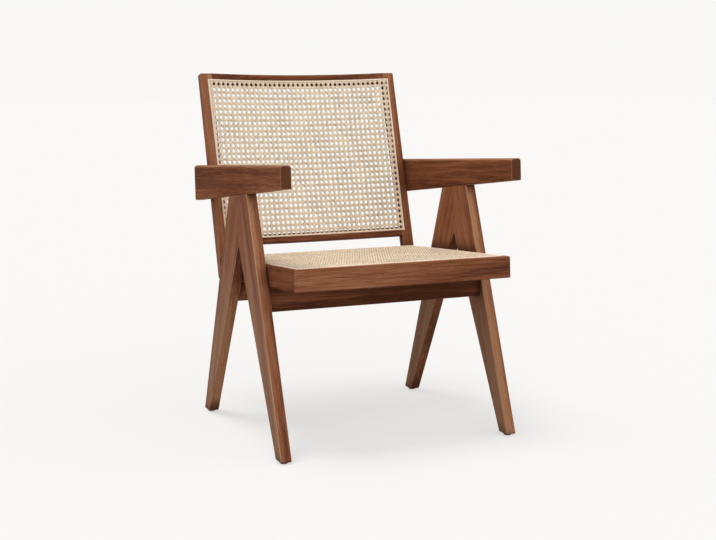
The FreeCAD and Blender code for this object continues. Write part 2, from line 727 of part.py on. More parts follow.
for side, sign in sides.items():
    label = f"seat_{side}_rail"
    rail = new_body(f"{label}_blank")
    outline = new_sketch(rail, "XZ_Plane")
    inner = f"{sign} * marks.seat_inner"
    outer = f"{sign} * marks.seat_half"
    corners = rectangle(outline, inner, "-dims.seat_rail_height", outer, "0")
    plank = pad(rail, outline, "marks.rear_rail_run + dims.cut_overrun", True)
    soften(rail, plank, "XZ_Plane", corners, seat_side_rounded, "dims.edge_round")
    trim = new_sketch(rail, "XZ_Plane", "-marks.rear_rail_run")
    rectangle(trim, f"{sign} * {mitre_in}", "-dims.seat_rail_height", f"{sign} * {mitre_out}", "0")
    pocket(rail, trim, "dims.cut_overrun")
    saw_mitre(rail, [sign], (mitre_in, mitre_near))
    tenon = new_sketch(rail, "XZ_Plane", "dims.mitre_tenon_length - dims.seat_rail_width")
    near = f"{sign} * ({seat_tenon_in})"
    far = f"{sign} * ({seat_tenon_out})"
    rectangle(tenon, near, seat_tenon_low, far, seat_tenon_high)
    tenon_reach = "dims.mitre_tenon_length - dims.seat_rail_width + dims.tenon_length"
    pad(rail, tenon, f"marks.rear_rail_run + {tenon_reach}", True)
    groove = new_sketch(rail, "XY_Plane")
    finish = "marks.rear_rail_run + dims.cut_overrun"
    slot_in = f"{sign} * marks.seat_groove_in"
    slot_out = f"{sign} * marks.seat_groove_out"
    rectangle(groove, slot_in, "dims.seat_border", slot_out, finish)
    pocket(rail, groove, "dims.groove_depth")
    stand_on_seat(rail)
    pieces.append(pierce(rail, label, holes[f"{side}_front_seat"] + holes[f"{side}_rear_seat"]))

# Seat cane and splines


# A plain grid of openings through a cane panel, cut down from the given lift
def open_cane(panel, role, lift, depth, edges, count_along):
    half, low, high = edges
    step_across = f"(2 * ({half}) - dims.cane_upright_band) / {openings_across}"
    step_along = f"(({high}) - ({low}) - dims.cane_cross_band) / {count_along}"
    sketch = new_sketch(panel, role, lift)
    left = f"dims.cane_upright_band - ({half})"
    near = f"{low} + dims.cane_cross_band"
    right = f"{step_across} - ({half})"
    rectangle(sketch, left, near, right, f"{low} + {step_along}")
    opening = pocket(panel, sketch, depth)
    grid = panel.newObject("PartDesign::LinearPattern", "grid")
    grid.Originals = [opening]
    grid.Direction = (sketch, ["H_Axis"])
    grid.Direction2 = (sketch, ["V_Axis"])
    grid.Occurrences = openings_across
    grid.Occurrences2 = count_along
    grid.setExpression("Length", f"{step_across} * {openings_across - 1}")
    grid.setExpression("Length2", f"{step_along} * {count_along - 1}")
    panel.Tip = grid
    doc.recompute()


panel = new_body("seat_cane_panel")
outline = new_sketch(panel, "XY_Plane", "dims.cane_gap")
cane_half = "marks.seat_groove_in - dims.cane_gap"
cane_front = "dims.seat_border + dims.spline_width + dims.cane_gap"
cane_rear = "marks.seat_groove_rear - dims.spline_width - dims.cane_gap"
rectangle(outline, f"-({cane_half})", cane_front, cane_half, cane_rear)
pad(panel, outline, "dims.cane_thickness")
open_cane(panel, "XY_Plane", "marks.cane_face", "dims.cane_thickness",
          (cane_half, cane_front, cane_rear), seat_openings_along)
stand_on_seat(panel)
pieces.append(panel)

spline_rise = "marks.spline_bed + dims.spline_proud"


# Rounds the long edges of a spline that stand proud of the wood
def round_proud(strip, bar, depth_of, across_of):
    names = []
    for number, edge in enumerate(bar.Shape.Edges, start=1):
        ends = [vertex.Point for vertex in edge.Vertexes]
        deepest = max(depth_of(point) for point in ends)
        spread = abs(across_of(ends[0]) - across_of(ends[1]))
        if deepest < 0 and spread < value(gap):
            names.append(f"Edge{number}")
    fillet(strip, bar, names, "dims.spline_round")


end_starts = {"front": "dims.seat_border", "rear": "marks.seat_groove_rear - dims.spline_width"}
for end, start in end_starts.items():
    strip = new_body(f"seat_spline_{end}")
    outline = new_sketch(strip, "XY_Plane", "-marks.spline_bed")
    reach = f"marks.seat_groove_in - {gap}"
    near = f"{start} + {gap}"
    rectangle(outline, f"-({reach})", near, reach, f"{near} + marks.spline_size")
    bar = pad(strip, outline, spline_rise)
    round_proud(strip, bar, lambda point: -point.z, lambda point: point.y)
    stand_on_seat(strip)
    pieces.append(strip)

for side, sign in sides.items():
    strip = new_body(f"seat_spline_{side}")
    outline = new_sketch(strip, "XY_Plane", "-marks.spline_bed")
    near = f"{sign} * (marks.seat_groove_in + {gap})"
    far = f"{sign} * (marks.seat_groove_out - {gap})"
    rectangle(outline, near, f"dims.seat_border + {gap}", far, f"marks.seat_groove_rear - {gap}")
    bar = pad(strip, outline, spline_rise)
    round_proud(strip, bar, lambda point: -point.z, lambda point: point.x)
    stand_on_seat(strip)
    pieces.append(strip)

# Back frame

back_rails = {
    "top": ("0", "dims.top_rail_height", "dims.top_bow", "marks.back_groove_top"),
    "bottom": ("dims.bottom_rail_height - marks.back_frame_height", "dims.bottom_rail_height",
               "dims.bottom_bow", "marks.back_groove_foot + dims.spline_width"),
}
rail_tenon_near = "(dims.rail_depth - dims.tenon_thickness) / 2"
rail_tenon_far = f"{rail_tenon_near} + dims.tenon_thickness"


def rail_tenon(name, room):
    top, height, _, _ = back_rails[name]
    low = f"{top} - {height} + dims.tenon_shoulder - {room}"
    high = f"{top} - dims.tenon_shoulder + {room}"
    return f"{rail_tenon_near} - {room}", low, f"{rail_tenon_far} + {room}", high


for side, sign in sides.items():
    label = f"{side}_back_stile"
    stile = new_body(f"{label}_blank")
    outline = new_sketch(stile, "XY_Plane")
    inner = f"{sign} * marks.bow_half"
    outer = f"{sign} * marks.half_inner"
    corners = rectangle(outline, inner, "0", outer, "dims.stile_depth")
    plank = pad(stile, outline, "marks.stile_length", True)
    rounded = [(1, 1), (2, 2), (3, 3), (0, 1), (1, 2), (2, 3)]
    soften(stile, plank, "XY_Plane", corners, rounded, "dims.edge_round")
    groove = new_sketch(stile, "XZ_Plane")
    slot_out = (f"{sign} * marks.back_foot_out", f"{sign} * marks.back_groove_out")
    slot_in = (f"{sign} * marks.back_foot_in", f"{sign} * marks.back_groove_in")
    tip = f"{sign} * (marks.bow_half - dims.cut_overrun)"
    slot = return_slot("marks.back_groove_foot", "marks.back_groove_top",
                       slot_out, slot_in, tip, "dims.spline_width")
    polygon(groove, [(across, along) for along, across in slot])
    pocket(stile, groove, "dims.groove_depth")
    mortise = new_sketch(stile, "YZ_Plane", inner)
    for name in back_rails:
        rectangle(mortise, *rail_tenon(name, gap))
    pocket(stile, mortise, f"dims.tenon_length + {gap}", sign > 0)
    stand_on_back(stile)
    drills = holes[f"{side}_stile_arm"] + holes[f"{side}_stile_seat"]
    pieces.append(pierce(stile, label, drills))

for name, (top, height, bow, slot_top) in back_rails.items():
    rail = new_body(f"back_{name}_rail")
    outline = new_sketch(rail, "XY_Plane", top)
    corners = bowed_band(outline, "marks.bow_half", bow, "0", "dims.rail_depth")
    plank = pad(rail, outline, height, True)
    soften(rail, plank, "XY_Plane", corners, [(0, 1), (2, 3)], "dims.edge_round")
    for sign in sides.values():
        tenon = new_sketch(rail, "YZ_Plane", f"{sign} * marks.bow_half")
        rectangle(tenon, *rail_tenon(name, "0"))
        pad(rail, tenon, "dims.tenon_length", sign < 0)
    groove = new_sketch(rail, "XY_Plane", slot_top)
    reach = "marks.bow_half + dims.cut_overrun"
    bowed_band(groove, reach, bow, "-dims.cut_overrun", "(dims.cut_overrun + dims.groove_depth)")
    pocket(rail, groove, "dims.spline_width")
    stand_on_back(rail)
    pieces.append(rail)

# Back cane and splines

panel = new_body("back_cane_panel")
cane_foot = "marks.back_groove_foot + dims.spline_width + dims.cane_gap"
cane_head = "marks.back_groove_top - dims.spline_width - dims.cane_gap"
foot_half = "marks.back_foot_in - dims.cane_gap"
head_half = "marks.back_groove_in - dims.cane_gap"
levels = [("dims.bottom_bow", cane_foot, foot_half), ("dims.top_bow", cane_head, head_half)]
sections = []
for bow, level, cane_half in levels:
    section = new_sketch(panel, "XY_Plane", level)
    bowed_band(section, cane_half, bow, "-marks.cane_face", "dims.cane_thickness")
    sections.append(section)
doc.recompute()
loft = panel.newObject("PartDesign::AdditiveLoft", "loft")
loft.Profile = sections[0]
loft.Sections = sections[1:]
loft.Ruled = True
doc.recompute()
open_cane(panel, "XZ_Plane", "marks.cane_face", "dims.top_bow + marks.cane_face",
          (foot_half, cane_foot, cane_head), back_openings_along)
stand_on_back(panel)
pieces.append(panel)

groove_rise = value("marks.back_groove_top - marks.back_groove_foot")
groove_lean = value("marks.back_groove_out - marks.back_foot_out") / groove_rise
for side, sign in sides.items():
    strip = new_body(f"back_spline_{side}")
    outline = new_sketch(strip, "XZ_Plane", "-marks.spline_bed")
    low = f"marks.back_groove_foot + {gap}"
    high = f"marks.back_groove_top - {gap}"
    polygon(outline, [
        (f"{sign} * (marks.back_foot_in + {gap})", low),
        (f"{sign} * (marks.back_foot_out - {gap})", low),
        (f"{sign} * (marks.back_groove_out - {gap})", high),
        (f"{sign} * (marks.back_groove_in + {gap})", high),
    ])
    bar = pad(strip, outline, spline_rise)
    lean = sign * groove_lean
    round_proud(strip, bar, lambda point: point.y, lambda point: point.x - lean * point.z)
    stand_on_back(strip)
    pieces.append(strip)

spline_ends = {"top": "marks.back_groove_in", "bottom": "marks.back_foot_in"}
for name, (_, _, bow, slot_top) in back_rails.items():
    strip = new_body(f"back_spline_{name}")
    outline = new_sketch(strip, "XY_Plane", f"{slot_top} - {gap}")
    reach = f"{spline_ends[name]} - {gap}"
    bowed_band(outline, reach, bow, "-dims.spline_proud", f"({spline_rise})")
    bar = pad(strip, outline, "marks.spline_size", True)
    round_proud(strip, bar, lambda point: point.y, lambda point: point.z)
    stand_on_back(strip)
    pieces.append(strip)

# Checks and files

doc.recompute()
for item in doc.Objects:
    if "Invalid" in item.State or "Error" in item.State:
        raise RuntimeError(f"{item.Label} did not build: {item.State}")
os.makedirs("parts", exist_ok=True)
for piece in pieces:
    if piece.Shape.isNull() or not piece.Shape.isValid() or not piece.Shape.Solids:
        raise RuntimeError(f"{piece.Label} has no sound solid")
    piece.Shape.exportStep(f"parts/{piece.Label}.step")
print(len(pieces), "pieces written")
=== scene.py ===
import bpy
import math
from mathutils import Matrix, Vector


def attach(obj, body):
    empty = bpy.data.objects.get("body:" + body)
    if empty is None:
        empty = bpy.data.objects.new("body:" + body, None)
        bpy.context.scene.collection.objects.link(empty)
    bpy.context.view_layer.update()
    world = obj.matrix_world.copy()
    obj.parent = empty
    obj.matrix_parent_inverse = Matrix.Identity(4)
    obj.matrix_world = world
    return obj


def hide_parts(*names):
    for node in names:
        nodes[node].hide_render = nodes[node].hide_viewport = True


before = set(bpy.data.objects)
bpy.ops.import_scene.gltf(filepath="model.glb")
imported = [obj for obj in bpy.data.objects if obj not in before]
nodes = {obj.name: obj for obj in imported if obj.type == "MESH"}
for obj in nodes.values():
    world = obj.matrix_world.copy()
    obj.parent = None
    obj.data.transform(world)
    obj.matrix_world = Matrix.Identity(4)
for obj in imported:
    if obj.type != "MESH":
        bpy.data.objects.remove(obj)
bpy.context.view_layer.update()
print("chair loaded:", len(nodes), "pieces")


# small helpers for node trees

def newFinish(name):
    finish = bpy.data.materials.new(name)
    finish.use_nodes = True
    tree = finish.node_tree
    return finish, tree, tree.nodes["Principled BSDF"]


def addNode(tree, kind, sockets, **settings):
    node = tree.nodes.new(kind)
    for key, setting in settings.items():
        setattr(node, key, setting)
    for key, given in sockets.items():
        if isinstance(given, bpy.types.NodeSocket):
            tree.links.new(given, node.inputs[key])
        else:
            node.inputs[key].default_value = given
    return node


def addMath(tree, operation, first, second=0.0):
    node = addNode(tree, "ShaderNodeMath", {0: first, 1: second}, operation=operation)
    return node.outputs[0]


def addRange(tree, given, low, high, start=0.0, end=1.0):
    sockets = {"Value": given, "From Min": low, "From Max": high, "To Min": start, "To Max": end}
    node = addNode(tree, "ShaderNodeMapRange", sockets, interpolation_type="SMOOTHSTEP")
    return node.outputs[0]


def addMix(tree, share, first, second):
    sockets = {0: share, 6: first, 7: second}
    return addNode(tree, "ShaderNodeMix", sockets, data_type="RGBA").outputs[2]


# noises added up, each by its share
def addSum(tree, noises, shares):
    total = addMath(tree, "MULTIPLY", noises[0], shares[0])
    for noise, share in zip(noises[1:], shares[1:]):
        total = addMath(tree, "ADD", total, addMath(tree, "MULTIPLY", noise, share))
    return total


def addPlace(tree):
    return addNode(tree, "ShaderNodeTexCoord", {}).outputs["Object"]


# noise whose grains have the given size in metres, along the turned axes of a piece
def addGrain(tree, place, turn, shift, size, detail=2.0, roughness=0.5, distortion=0.0):
    sockets = {"Vector": place, "Location": shift, "Rotation": turn, "Scale": size}
    mapping = addNode(tree, "ShaderNodeMapping", sockets, vector_type="TEXTURE")
    sockets = {"Vector": mapping.outputs[0], "Scale": 1.0, "Detail": detail,
               "Roughness": roughness, "Distortion": distortion}
    return addNode(tree, "ShaderNodeTexNoise", sockets).outputs[0]


def addBump(tree, shader, height, strength, distance):
    sockets = {"Strength": strength, "Distance": distance, "Height": height}
    bump = addNode(tree, "ShaderNodeBump", sockets)
    tree.links.new(bump.outputs[0], shader.inputs["Normal"])


def paint(node, finish):
    node.data.materials.clear()
    node.data.materials.append(finish)


# brown hardwood, with its grain along local Y of the turn
wood = {
    "pale": (0.415, 0.202, 0.104, 1.0),
    "mid": (0.270, 0.096, 0.045, 1.0),
    "dark": (0.085, 0.028, 0.013, 1.0),
    "wornAndHighlit": (0.600, 0.350, 0.220, 1.0),
    "sawn": (0.090, 0.038, 0.020, 1.0),     # end grain
    "paintedSheen": (0.420, 0.290, 0.210, 1.0),     # painted sheen: the sides of the legs paler and greyer low down
    "broad": (0.026, 0.50, 0.026),          # grain sizes in metres: across, along, across
    "streak": (0.0036, 0.20, 0.0036),
    "fibre": (0.0011, 0.050, 0.0011),
    "pore": (0.0007, 0.010, 0.0007),
    "endPore": (0.0011, 0.0011, 0.0011),
    "step": (0.37, 0.71, 0.23),             # shift of the grain from piece to piece
    "shares": (0.40, 0.26, 0.34),           # broad, streak and fibre in the figure
    "stops": (0.34, 0.50, 0.64),            # figure where the wood is dark, mid and pale
    "corner": 0.05,                         # reach of the painted shade in inner corners
    "cornerRays": 8,
    "bump": (0.3, 0.0004),                  # strength and height of the grain
    # ranges: where each begins and is full, and what it goes from and to
    "poreRange": (0.58, 0.72, 0.0, 0.50),
    "endPoreRange": (0.40, 0.75, 0.0, 0.8),
    "sawnRange": (0.75, 0.95),
    "edgeRange": (0.97, 0.80),
    "patchRange": (0.30, 0.65, 0.3, 1.0),
    "cornerRange": (0.90, 0.40, 0.0, 0.85),
    "roughRange": (0.25, 0.75, 0.46, 0.64),
}


# painted light and shade on the legs: tone of their front and of their sides, at the top and at
# the foot, and the painted highlight added to the front at its left edge, and the painted shade
# at its right edge at the top and at the foot
legPaintedLight = {
    "left_front_leg": {"front": (0.13, -0.03), "side": (0.0, 0.05),
                       "middle": -0.2715, "paintedLightAcross": (0.04, -0.16, -0.03)},
    "right_front_leg": {"front": (0.16, 0.11), "side": (0.02, 0.08),
                        "middle": 0.2715, "paintedLightAcross": (0.04, -0.20, 0.0)},
    "left_rear_leg": {"front": (-0.05, 0.10), "side": (0.0, 0.04),
                      "middle": -0.2715, "paintedLightAcross": (0.02, 0.0, 0.0)},
    "right_rear_leg": {"front": (-0.05, -0.08), "side": (0.01, 0.05),
                       "middle": 0.2715, "paintedLightAcross": (0.0, 0.0, 0.0)},
}
legPaintedLightRanges = {
    "span": (0.50, 0.15),           # heights between which the painted light on a leg changes
    "half": 0.0125,                 # half the thickness of a leg
    "sideRange": (0.45, 0.85),      # how far a face turns sideways to count as a side
    "paintedSheen": (0.0, 0.28),            # share of the painted sheen on the sides at the top and at the foot
}


# slides from one number at the top of a leg to another at its foot
def addFall(tree, place, ends):
    height = addNode(tree, "ShaderNodeSeparateXYZ", {"Vector": place}).outputs[2]
    return addRange(tree, height, *legPaintedLightRanges["span"], *ends)


# painted light and shade of a leg, with its front and its sides apart
def addLegPaintedLight(tree, place, leg, sideShare):
    front = addFall(tree, place, leg["front"])
    side = addFall(tree, place, leg["side"])
    breadth = addNode(tree, "ShaderNodeSeparateXYZ", {"Vector": place}).outputs[0]
    leftEdge, rightEdge = leg["middle"] - legPaintedLightRanges["half"], leg["middle"] + legPaintedLightRanges["half"]
    rightPaintedLight = addFall(tree, place, leg["paintedLightAcross"][1:])
    paintedLightAcross = addRange(tree, breadth, leftEdge, rightEdge, leg["paintedLightAcross"][0], rightPaintedLight)
    front = addMath(tree, "ADD", front, paintedLightAcross)
    lift = addMath(tree, "MULTIPLY", addMath(tree, "SUBTRACT", side, front), sideShare)
    return addMath(tree, "ADD", front, lift)


def woodFinish(name, turn, seed, tone, edgeWearAndHighlight, sheen):
    finish, tree, shader = newFinish(name + "_wood")
    place = addPlace(tree)
    normal = addNode(tree, "ShaderNodeNewGeometry", {}).outputs["Normal"]
    shift = tuple(step * seed for step in wood["step"])
    broad = addGrain(tree, place, turn, shift, wood["broad"], 2.0, 0.5, 0.4)
    streak = addGrain(tree, place, turn, shift, wood["streak"], 3.0, 0.6, 0.2)
    fibre = addGrain(tree, place, turn, shift, wood["fibre"])
    pore = addGrain(tree, place, turn, shift, wood["pore"], 1.0)
    endPore = addGrain(tree, place, turn, shift, wood["endPore"])
    # the normal in the piece's own axes tells sides, sawn ends and rounded edges apart
    sockets = {"Vector": normal, "Rotation": turn}
    aligned = addNode(tree, "ShaderNodeMapping", sockets, vector_type="TEXTURE")
    parts = addNode(tree, "ShaderNodeSeparateXYZ", {"Vector": aligned.outputs[0]})
    spans = [addMath(tree, "ABSOLUTE", parts.outputs[axis]) for axis in range(3)]
    largest = addMath(tree, "MAXIMUM", addMath(tree, "MAXIMUM", spans[0], spans[1]), spans[2])
    # colour along the boards
    figure = addSum(tree, (broad, streak, fibre), wood["shares"])
    figure = addMath(tree, "ADD", figure, tone)
    # painted light and shade on the legs: front faces lit and shaded by height, sides lighter
    # low down, and shading across the front
    if name in legPaintedLight:
        sideShare = addRange(tree, spans[0], *legPaintedLightRanges["sideRange"])
        figure = addMath(tree, "ADD", figure, addLegPaintedLight(tree, place, legPaintedLight[name], sideShare))
    darkStop, midStop, paleStop = wood["stops"]
    ramp = addNode(tree, "ShaderNodeValToRGB", {"Fac": figure})
    ramp.color_ramp.elements[0].position = darkStop
    ramp.color_ramp.elements[0].color = wood["dark"]
    ramp.color_ramp.elements[1].position = paleStop
    ramp.color_ramp.elements[1].color = wood["pale"]
    ramp.color_ramp.elements.new(midStop).color = wood["mid"]
    poreMask = addRange(tree, pore, *wood["poreRange"])
    colour = addMix(tree, poreMask, ramp.outputs[0], wood["dark"])
    # painted sheen: the sides of the legs paler and greyer towards the foot, as if reflecting
    # the floor
    if name in legPaintedLight:
        paintedSheenShare = addMath(tree, "MULTIPLY", addFall(tree, place, legPaintedLightRanges["paintedSheen"]), sideShare)
        colour = addMix(tree, paintedSheenShare, colour, wood["paintedSheen"])
    # sawn ends, and rounded edges paler where worn and painted highlight, or darker where the
    # number is below zero
    endMask = addRange(tree, endPore, *wood["endPoreRange"])
    endColour = addMix(tree, endMask, wood["sawn"], wood["mid"])
    colour = addMix(tree, addRange(tree, spans[1], *wood["sawnRange"]), colour, endColour)
    edge = addRange(tree, largest, *wood["edgeRange"])
    patchy = addRange(tree, streak, *wood["patchRange"])
    edge = addMath(tree, "MULTIPLY", addMath(tree, "MULTIPLY", edge, patchy), abs(edgeWearAndHighlight))
    colour = addMix(tree, edge, colour, wood["wornAndHighlit" if edgeWearAndHighlight > 0 else "dark"])
    # painted shade darkens the inner corners and the faces under other parts
    corner = addNode(tree, "ShaderNodeAmbientOcclusion", {"Distance": wood["corner"]},
                     samples=wood["cornerRays"])
    paintedCornerShadeShare = addRange(tree, corner.outputs["AO"], *wood["cornerRange"])
    colour = addMix(tree, paintedCornerShadeShare, colour, wood["dark"])
    tree.links.new(colour, shader.inputs["Base Color"])
    rough = addRange(tree, streak, *wood["roughRange"])
    tree.links.new(rough, shader.inputs["Roughness"])
    shader.inputs["Specular IOR Level"].default_value = sheen
    addBump(tree, shader, addMath(tree, "SUBTRACT", fibre, poreMask), *wood["bump"])
    return finish


# grain turns: boards that lie across the chair, and boards that lean in its side plane
acrossTurn = (0.0, 0.0, math.radians(-90.0))


def leaning(angle):
    return (math.radians(angle), 0.0, 0.0)


# turn of the grain, tone, edge wear and painted highlight along the edges (below zero the edges
# are darker instead) and sheen
woodPieces = {
    "left_front_leg": (leaning(69.7), 0.0, 0.7, 0.03),
    "right_front_leg": (leaning(69.7), 0.0, 0.7, 0.03),
    "left_rear_leg": (leaning(110.3), 0.0, 0.9, 0.03),
    "right_rear_leg": (leaning(110.3), 0.0, 0.4, 0.03),
    "left_armrest": (leaning(-3.7), -0.03, 0.35, 0.005),
    "right_armrest": (leaning(-3.7), -0.03, 0.35, 0.005),
    "left_back_stile": (leaning(73.7), -0.01, 0.15, 0.05),
    "right_back_stile": (leaning(73.7), 0.0, 0.15, 0.02),
    "seat_left_rail": (leaning(-4.0), -0.05, -0.6, 0.005),
    "seat_right_rail": (leaning(-4.0), 0.0, -0.4, 0.02),
    "seat_front_rail": (acrossTurn, -0.02, -0.6, 0.02),
    "seat_rear_rail": (acrossTurn, 0.0, -0.4, 0.02),
    # the front stretcher's low tone is painted shade from the seat above it
    "front_stretcher": (acrossTurn, -0.12, 0.2, 0.02),
    "rear_stretcher": (acrossTurn, 0.0, 0.2, 0.02),
    "back_top_rail": (acrossTurn, -0.05, 0.1, 0.02),
    "back_bottom_rail": (acrossTurn, -0.09, 0.1, 0.02),
    "leg_dowels": (leaning(0.0), 0.04, 0.2, 0.02),
    "armrest_dowels": (leaning(90.0), 0.04, 0.2, 0.02),
}
for seed, (name, (turn, tone, edgeWearAndHighlight, sheen)) in enumerate(woodPieces.items(), start=1):
    paint(nodes[name], woodFinish(name, turn, seed, tone, edgeWearAndHighlight, sheen))
print("wood finished:", len(woodPieces), "pieces")


# pale reed of the splines and the split cane of the panels
reed = {
    "pale": (0.92, 0.77, 0.62, 1.0),
    "deep": (0.78, 0.60, 0.44, 1.0),
    "roughness": 0.45,
    "long": 0.12,                           # length of the grain
}
cane = {
    "pale": (0.93, 0.77, 0.585, 1.0),
    "deep": (0.81, 0.65, 0.475, 1.0),
    "strandShade": (0.10, 0.060, 0.035, 1.0),      # painted shade along the edges of a strand, where strands shade each other
    "roughness": 0.42,
    "long": 0.06,
}
# browner where one sits
usedCane = {**cane, "pale": (0.87, 0.72, 0.53, 1.0), "deep": (0.75, 0.60, 0.42, 1.0)}
stalkGrain = {
    "patchWidth": 0.009,
    "fibreWidth": 0.0004,
    "fibreShare": 3,                        # fibres in the length of a patch
    "cloud": (0.05, 0.08, 0.05),
    "run": (0.008, 0.14, 0.008),            # stretch over which a strand stands apart
    "step": (0.31, 0.17, 0.53),             # shift of the grain from piece to piece
    "shares": (0.4, 0.3, 0.3),              # patch, fibre and cloud in the figure
    "figureRange": (0.34, 0.64),
    "shadePatchRange": (0.44, 0.60, 0.15, 1.0),
    "strandShadeFull": 0.50,                       # where the painted shade line is darkest, from 0 in the middle
    "gloss": 0.3,
    "bump": (0.2, 0.0002),
}


# with a painted shade of 0 the dark lines along the strand edges are left out; otherwise the
# painted shade begins at the inset
def stalkFinish(name, stalk, turn, seed, strandShade=0.0, inset=0.0):
    finish, tree, shader = newFinish(name)
    place = addPlace(tree)
    shift = tuple(step * seed for step in stalkGrain["step"])
    patchWidth, fibreWidth = stalkGrain["patchWidth"], stalkGrain["fibreWidth"]
    patchSize = (patchWidth, stalk["long"], patchWidth)
    fibreSize = (fibreWidth, stalk["long"] / stalkGrain["fibreShare"], fibreWidth)
    patch = addGrain(tree, place, turn, shift, patchSize)
    fibre = addGrain(tree, place, turn, shift, fibreSize, 1.0)
    cloud = addGrain(tree, place, turn, shift, stalkGrain["cloud"], 1.0)
    figure = addSum(tree, (patch, fibre, cloud), stalkGrain["shares"])
    shade = addRange(tree, figure, *stalkGrain["figureRange"])
    colour = addMix(tree, shade, stalk["deep"], stalk["pale"])
    if strandShade > 0:
        side = addNode(tree, "ShaderNodeAttribute", {}, attribute_name="side").outputs["Fac"]
        line = addRange(tree, side, inset, stalkGrain["strandShadeFull"], 0.0, strandShade)
        # the painted shade between strands is darker in patches along their run
        run = addGrain(tree, place, turn, shift, stalkGrain["run"], 1.0)
        shadePatch = addRange(tree, run, *stalkGrain["shadePatchRange"])
        colour = addMix(tree, addMath(tree, "MULTIPLY", line, shadePatch), colour, stalk["strandShade"])
    tree.links.new(colour, shader.inputs["Base Color"])
    shader.inputs["Roughness"].default_value = stalk["roughness"]
    shader.inputs["Specular IOR Level"].default_value = stalkGrain["gloss"]
    addBump(tree, shader, fibre, *stalkGrain["bump"])
    return finish


splineTurns = {
    "back_spline_left": leaning(73.7),
    "back_spline_right": leaning(73.7),
    "back_spline_top": acrossTurn,
    "back_spline_bottom": acrossTurn,
    "seat_spline_left": leaning(-4.0),
    "seat_spline_right": leaning(-4.0),
    "seat_spline_front": acrossTurn,
    "seat_spline_rear": acrossTurn,
}
for seed, (name, turn) in enumerate(splineTurns.items(), start=1):
    paint(nodes[name], stalkFinish(name + "_reed", reed, turn, seed))


# screws, nails and glides
hardware = {
    "steel": (0.42, 0.40, 0.37, 1.0),
    "steelGrain": (0.0006, 0.0006, 0.0006),
    "steelRough": (0.3, 0.7, 0.28, 0.50),
    "glide": (0.26, 0.13, 0.075, 1.0),
    "scuffed": (0.40, 0.24, 0.15, 1.0),
    "scuffGrain": (0.0025, 0.0025, 0.0012),
    "scuffShift": (0.2, 0.1, 0.3),
    "scuffRange": (0.45, 0.70),
    "glideRough": (0.3, 0.7, 0.45, 0.65),
}
unturned = (0.0, 0.0, 0.0)


def steelFinish(name):
    finish, tree, shader = newFinish(name)
    brushed = addGrain(tree, addPlace(tree), unturned, unturned, hardware["steelGrain"])
    shader.inputs["Base Color"].default_value = hardware["steel"]
    shader.inputs["Metallic"].default_value = 1.0
    rough = addRange(tree, brushed, *hardware["steelRough"])
    tree.links.new(rough, shader.inputs["Roughness"])
    return finish


def glideFinish(name):
    finish, tree, shader = newFinish(name)
    place = addPlace(tree)
    scuff = addGrain(tree, place, unturned, hardware["scuffShift"], hardware["scuffGrain"], 3.0)
    scuffMask = addRange(tree, scuff, *hardware["scuffRange"])
    colour = addMix(tree, scuffMask, hardware["glide"], hardware["scuffed"])
    tree.links.new(colour, shader.inputs["Base Color"])
    rough = addRange(tree, scuff, *hardware["glideRough"])
    tree.links.new(rough, shader.inputs["Roughness"])
    return finish


steel = steelFinish("plain_steel")
for name in ("armrest_screws", "back_screws", "seat_screws", "glide_nails"):
    paint(nodes[name], steel)
glide = glideFinish("glide_plastic")
for side in ("left", "right"):
    for end in ("front", "rear"):
        paint(nodes[f"{side}_{end}_glide"], glide)
print("splines, screws and glides finished")


# open cane weave: pairs of uprights and crosses, and a diagonal each way
weave = {
    "width": 0.0028,            # width of a strand
    "thick": 0.00072,           # thickness of a strand
    "corners": 6,               # corners of a strand's section
    "layer": 0.00075,           # height from one strand to the next where they cross
    "pair": 0.00140,            # half the spacing of the two strands of a pair
    "steps": 6,                 # straight runs in one wave of a strand
    "border": 0.006,            # run over which the cane goes down to its spline
    "pressed": 0.4,             # height of the waves that is left beside the spline
    "low": 0.00055,             # height of the cane's middle beside the spline
    "high": 0.0015,             # height of the cane's middle over the wood
    "merge": 0.00001,           # distance within which the runs of a strand are joined
    "smooth": 75.0,             # angle below which edges are shaded smooth
}


def selectOnly(piece):
    bpy.ops.object.select_all(action="DESELECT")
    piece.select_set(True)
    bpy.context.view_layer.objects.active = piece


# a strand of lens section, extruded from point to point
def growStrand(name, path, facing):
    bpy.ops.object.select_all(action="DESELECT")
    turn = (math.pi / 2, 0, 0) if facing == "along" else (0, math.pi / 2, 0)
    bpy.ops.mesh.primitive_circle_add(vertices=weave["corners"], radius=0.5,
                                      location=path[0], rotation=turn)
    strand = bpy.context.object
    strand.name = name
    bpy.ops.object.transform_apply(location=True, rotation=True, scale=True)
    # 0 along the middle of the strand, and more towards its edges
    sides = strand.data.attributes.new("side", "FLOAT", "POINT")
    for vertex in strand.data.vertices:
        sides.data[vertex.index].value = 1.0 - 2.0 * abs(vertex.co.z - path[0].z)
    run = path[-1] - path[0]
    width = weave["width"] * run.length / (run.y if facing == "along" else run.x)
    size = (width, 1.0, weave["thick"]) if facing == "along" else (1.0, width, weave["thick"])
    bpy.ops.object.mode_set(mode="EDIT")
    bpy.ops.mesh.select_all(action="SELECT")
    bpy.ops.transform.resize(value=size, center_override=path[0])
    for start, end in zip(path, path[1:]):
        bpy.ops.mesh.extrude_region_move(TRANSFORM_OT_translate={"value": end - start})
    bpy.ops.object.mode_set(mode="OBJECT")
    return strand


def repeatStrand(piece, count, step, merge=False):
    selectOnly(piece)
    array = piece.modifiers.new("repeat", "ARRAY")
    array.use_relative_offset = False
    array.use_constant_offset = True
    array.constant_offset_displace = step
    array.count = count
    array.use_merge_vertices = merge
    array.merge_threshold = weave["merge"]
    bpy.ops.object.modifier_apply(modifier=array.name)


def joinStrands(name, strands):
    selectOnly(strands[0])
    for strand in strands[1:]:
        strand.select_set(True)
    bpy.ops.object.join()
    strands[0].name = name
    strands[0].data.name = name
    return strands[0]


# half the width of a panel, which may taper
def halfAt(panel, y):
    rise = (y - panel["foot"]) / (panel["head"] - panel["foot"])
    return panel["footHalf"] + (panel["headHalf"] - panel["footHalf"]) * rise


